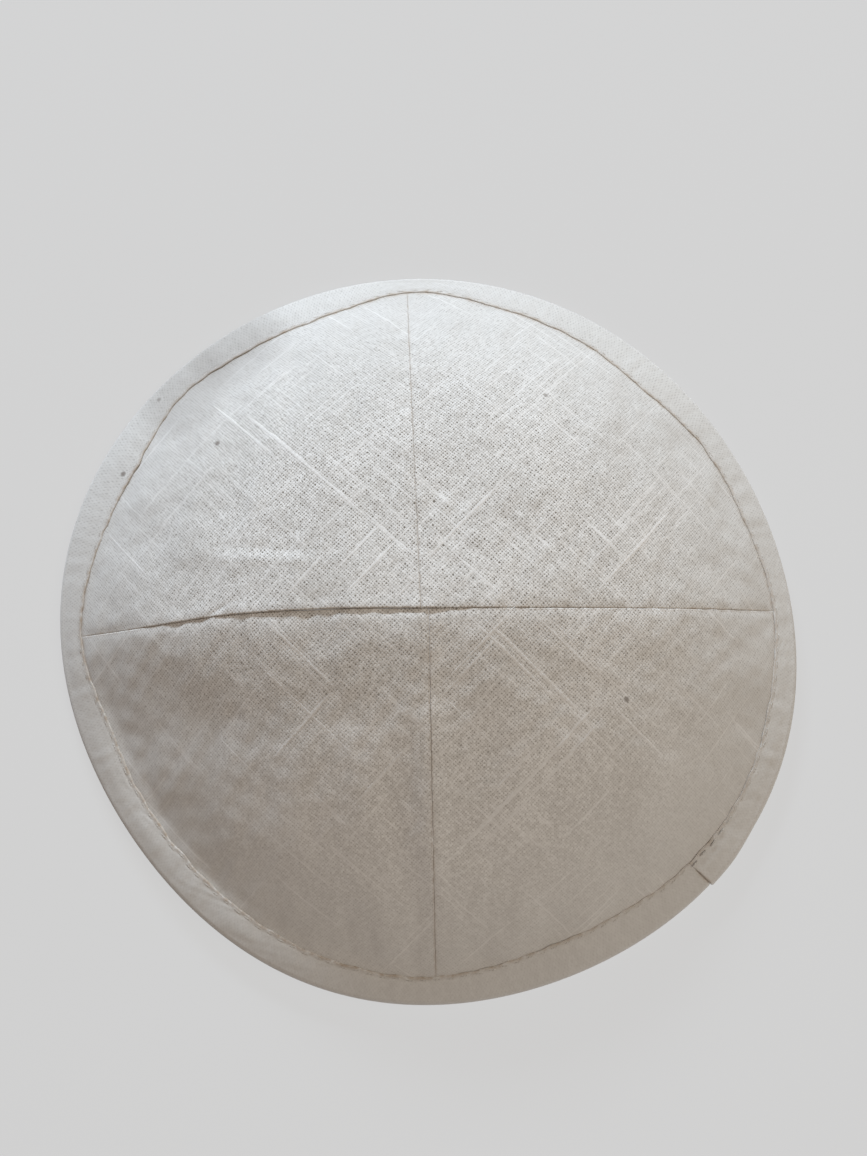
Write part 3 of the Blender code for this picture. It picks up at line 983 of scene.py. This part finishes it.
# Noise along single threads. Columns: step from thread to thread, run along the thread, seed, detail
threadNoise = {
    "aside": (7.43, 0.31, 23.0, 0.0),
    "body": (3.17, 0.40, 0.0, 1.0),
    "slub": (5.71, 0.014, 9.0, 0.0),
}
fabricLook = {"Roughness": 0.88, "Specular IOR Level": 0.25, "Sheen Weight": 0.15, "Sheen Roughness": 0.5}
# Specks of husk in the cloth and wider smudges. Columns: x and y from the seams' crossing and radius,
# in metres, and how dark
specks = (
    (-0.0437, 0.0396, 0.00080, 0.70),
    (-0.0674, 0.0364, 0.00085, 0.75),
    (0.0279, 0.0470, 0.00065, 0.60),
    (0.0408, -0.0190, 0.00080, 0.65),
    (-0.0600, 0.0545, 0.00075, 0.50),
    (-0.0418, 0.0670, 0.01500, 0.30),
    (-0.0540, 0.0560, 0.01500, 0.26),
)


# Noise from 0 to 1 along one thread, and another on the next
def threadGrain(finish, kind, number, along, seed):
    step, run, ownSeed, detail = threadNoise[kind]
    return finish.grain(number * step + (seed + ownSeed), along * run, detail)


# 0 at the back of the cap and 1 at the front
def frontward(finish, y):
    return finish.smooth(0.0 - y, linen["frontNear"], linen["frontFar"])


# Plain weave. Along a and b, counted in threads, each thread's profile is 1 - (offset / half width)^2
# and it rises and dips as cos(pi (place along it + its number)). The higher thread shows, and where
# neither reaches there is a gap, painted dark as shade. Slubs are stretches where a thread is thick and pale
def linenFinish(name, seed, withSlubs=True, openness=1.0):
    finish = Finish(name, fabricLook)
    u, v = finish.onCloth()
    x, y = finish.onCap()
    fromCrown = (x * x + y * y) ** 0.5
    handled = finish.smooth(fromCrown, linen["openNear"], linen["openFar"])
    flattened = frontward(finish, y) * linen["frontPressed"]
    opened = (1 - handled * linen["pressed"]) * (1 - flattened) * openness
    a, b = u / linen["threadPitch"], v / linen["threadPitch"]
    threads = []
    for across, along, threadSeed in ((a, b, seed), (b, a, seed + linen["secondSeed"])):
        number = finish.math("ROUND", across)
        aside = threadGrain(finish, "aside", number, along, threadSeed) - 0.5
        off = across - number + aside * (2 * linen["wobble"])
        body = threadGrain(finish, "body", number, along, threadSeed)
        half = body * (2 * linen["halfThreadSpread"]) + (linen["halfThread"] - linen["halfThreadSpread"])
        slub = 0.0
        if withSlubs:
            thick = threadGrain(finish, "slub", number, along, threadSeed)
            slub = finish.smooth(thick, linen["slubFrom"], linen["slubTo"])
            half = half + slub * (linen["slubHalfThread"] - linen["halfThread"])
        profile = finish.math("MAXIMUM", 1 - (off / half) ** 2, 0.0)
        wave = finish.math("COSINE", (along + number) * math.pi)
        threads.append((number, profile, wave, slub))
    (numberA, profileA, waveA, slubA), (numberB, profileB, waveB, slubB) = threads
    highA = profileA * (waveA * 0.5 + 0.5)
    highB = profileB * (0.5 - waveB * 0.5)
    if withSlubs:
        highA = highA + profileA * slubA * linen["slubLift"]
        highB = highB + profileB * slubB * linen["slubLift"]
    height = finish.math("MAXIMUM", highA, highB)
    cover = finish.math("MAXIMUM", profileA, profileB)
    secondSeed = seed + linen["secondSeed"]
    perThread = finish.chance(numberA + seed) * 0.5 + finish.chance(numberB + secondSeed) * 0.5
    perCrossing = finish.chance(numberA * linen["crossingStep"] + numberB + seed)
    tint = perThread * linen["threadTint"] + perCrossing * (1 - linen["threadTint"])
    scale, detail = linen["patches"]
    patch = finish.grain(u * scale, v * scale, detail)
    fresh = finish.smooth(tint * linen["tintShare"] + patch * linen["patchShare"], *linen["staleRange"])
    colour = finish.mix(fresh, linen["staleColour"], linen["threadColour"])
    colour = finish.mix(handled * linen["dullShare"], colour, linen["dullColour"])
    if withSlubs:
        slubbed = finish.math("MAXIMUM", profileA * slubA, profileB * slubB)
        colour = finish.mix(slubbed * linen["slubPale"], colour, linen["slubColour"])
    # Painted shade where a thread dips and in the gaps between threads
    dipped = 1 - finish.smooth(height, 0.0, linen["dipShadeTop"])
    colour = finish.mix(dipped * opened * linen["dipShade"], colour, linen["gapShadeColour"])
    gap = (1 - finish.smooth(cover, 0.0, linen["gapReach"])) * opened
    colour = finish.mix(gap, colour, linen["gapShadeColour"])
    # Painted shade in the seams and beside the tape's edge, broken into spots
    near = Signal(finish, finish.node("Attribute", {"attribute_name": "seamShade"}, {}).outputs["Fac"])
    scale, detail, gain, shift = linen["shadeSpots"]
    shadeSpots = finish.grain(u * scale, v * scale, detail) * gain + shift
    colour = finish.mix(near * shadeSpots * linen["seamShadeShare"], colour, linen["seamShadeColour"])
    for speckX, speckY, radius, share in specks:
        dx, dy = x - (speckX - middleX), y - (speckY - middleY)
        dark = 1 - finish.smooth(dx * dx + dy * dy, 0.0, radius * radius)
        colour = finish.mix(dark * share, colour, linen["speckColour"])
    return finish.cover(colour, height * opened, linen["relief"])


# One thick thread: fibres as long thin noise along it, duller where it dips and towards the front
def slubFinish():
    finish = Finish("slub linen", fabricLook)
    u, v = finish.onCloth()
    x, y = finish.onCap()
    run, across, detail = slubShape["fibres"]
    fibre = finish.grain(u * run, v * across, detail)
    over = finish.math("COSINE", u * (math.pi / linen["threadPitch"])) * 0.5 + 0.5
    pale = finish.smooth(fibre, *slubShape["fibreRange"])
    colour = finish.mix(pale, linen["staleColour"], linen["slubColour"])
    colour = finish.mix((1 - over) * slubShape["bead"], colour, linen["dullColour"])
    colour = finish.mix(frontward(finish, y) * slubShape["frontDull"], colour, linen["dullColour"])
    return finish.cover(colour, fibre, slubShape["relief"])


# Sewing thread: pale, with its twist as slanting ridges and painted shade in the grooves between them
def threadFinish():
    finish = Finish("sewing thread", fabricLook)
    u, v = finish.onCloth()
    twist = finish.math("SINE", u * stitch["twist"] + v * stitch["twist"])
    colour = finish.mix(twist * 0.5 + 0.5, stitch["dark"], stitch["pale"])
    return finish.cover(colour, twist, stitch["relief"])


panelLinen = linenFinish("panel linen", 3.0)
tapeLinen = linenFinish("tape linen", 171.0, withSlubs=False, openness=linen["tapeOpen"])
panels = [clothPanel(name, right, back, seed, panelLinen) for name, right, back, seed in panelRows]
slubThreads(slubFinish())
binding = rimBinding(tapeLinen)
stitches = bindingStitches(threadFinish())


# A lamp at its distance, azimuth and elevation, turned to face the middle of the cap
def addLamp(name, look):
    data = bpy.data.lights.new(name, "AREA")
    data.shape = "RECTANGLE"
    data.size, data.size_y = look["size"]
    data.energy = look["power"]
    data.color = look["colour"]
    lamp = bpy.data.objects.new(name, data)
    turn, up = math.radians(look["azimuth"]), math.radians(look["elevation"])
    level = look["distance"] * math.cos(up)
    lamp.location = (level * math.sin(turn), level * math.cos(turn), look["distance"] * math.sin(up))
    lamp.rotation_mode = "QUATERNION"
    lamp.rotation_quaternion = lamp.location.to_track_quat("Z", "Y")
    bpy.context.scene.collection.objects.link(lamp)


def buildStudio():
    half, low = floorLook["size"] / 2, -floorLook["below"]
    mesh = bpy.data.meshes.new("floor")
    mesh.from_pydata([(-half, -half, low), (half, -half, low), (half, half, low), (-half, half, low)],
                     [], [(0, 1, 2, 3)])
    grey = floorLook["colour"]
    look = {"Base Color": (grey, grey, grey, 1.0), "Roughness": 1.0, "Specular IOR Level": 0.0,
            "Emission Color": (1.0, 1.0, 1.0, 1.0), "Emission Strength": floorLook["glow"]}
    finish = Finish("floor", look)
    mesh.materials.append(finish.material)
    floor = bpy.data.objects.new("floor", mesh)
    bpy.context.scene.collection.objects.link(floor)
    for name, look in lamps.items():
        addLamp(name, look)
    world = bpy.data.worlds.new("surround")
    world.use_nodes = True
    background = world.node_tree.nodes["Background"]
    background.inputs["Color"].default_value = (*surround["colour"], 1.0)
    background.inputs["Strength"].default_value = surround["strength"]
    bpy.context.scene.world = world
    bpy.context.scene.view_settings.view_transform = "Standard"


def buildCamera():
    data = bpy.data.cameras.new("camera")
    data.lens, data.sensor_width = view["lens"], view["sensor"]
    data.clip_start = view["nearest"]
    camera = bpy.data.objects.new("camera", data)
    camera.location = view["place"]
    camera.rotation_mode = "ZYX"
    camera.rotation_euler = (math.radians(view["tilt"]), 0, math.radians(view["roll"]))
    bpy.context.scene.collection.objects.link(camera)
    bpy.context.scene.camera = camera


buildStudio()
buildCamera()
print("studio and camera ready")
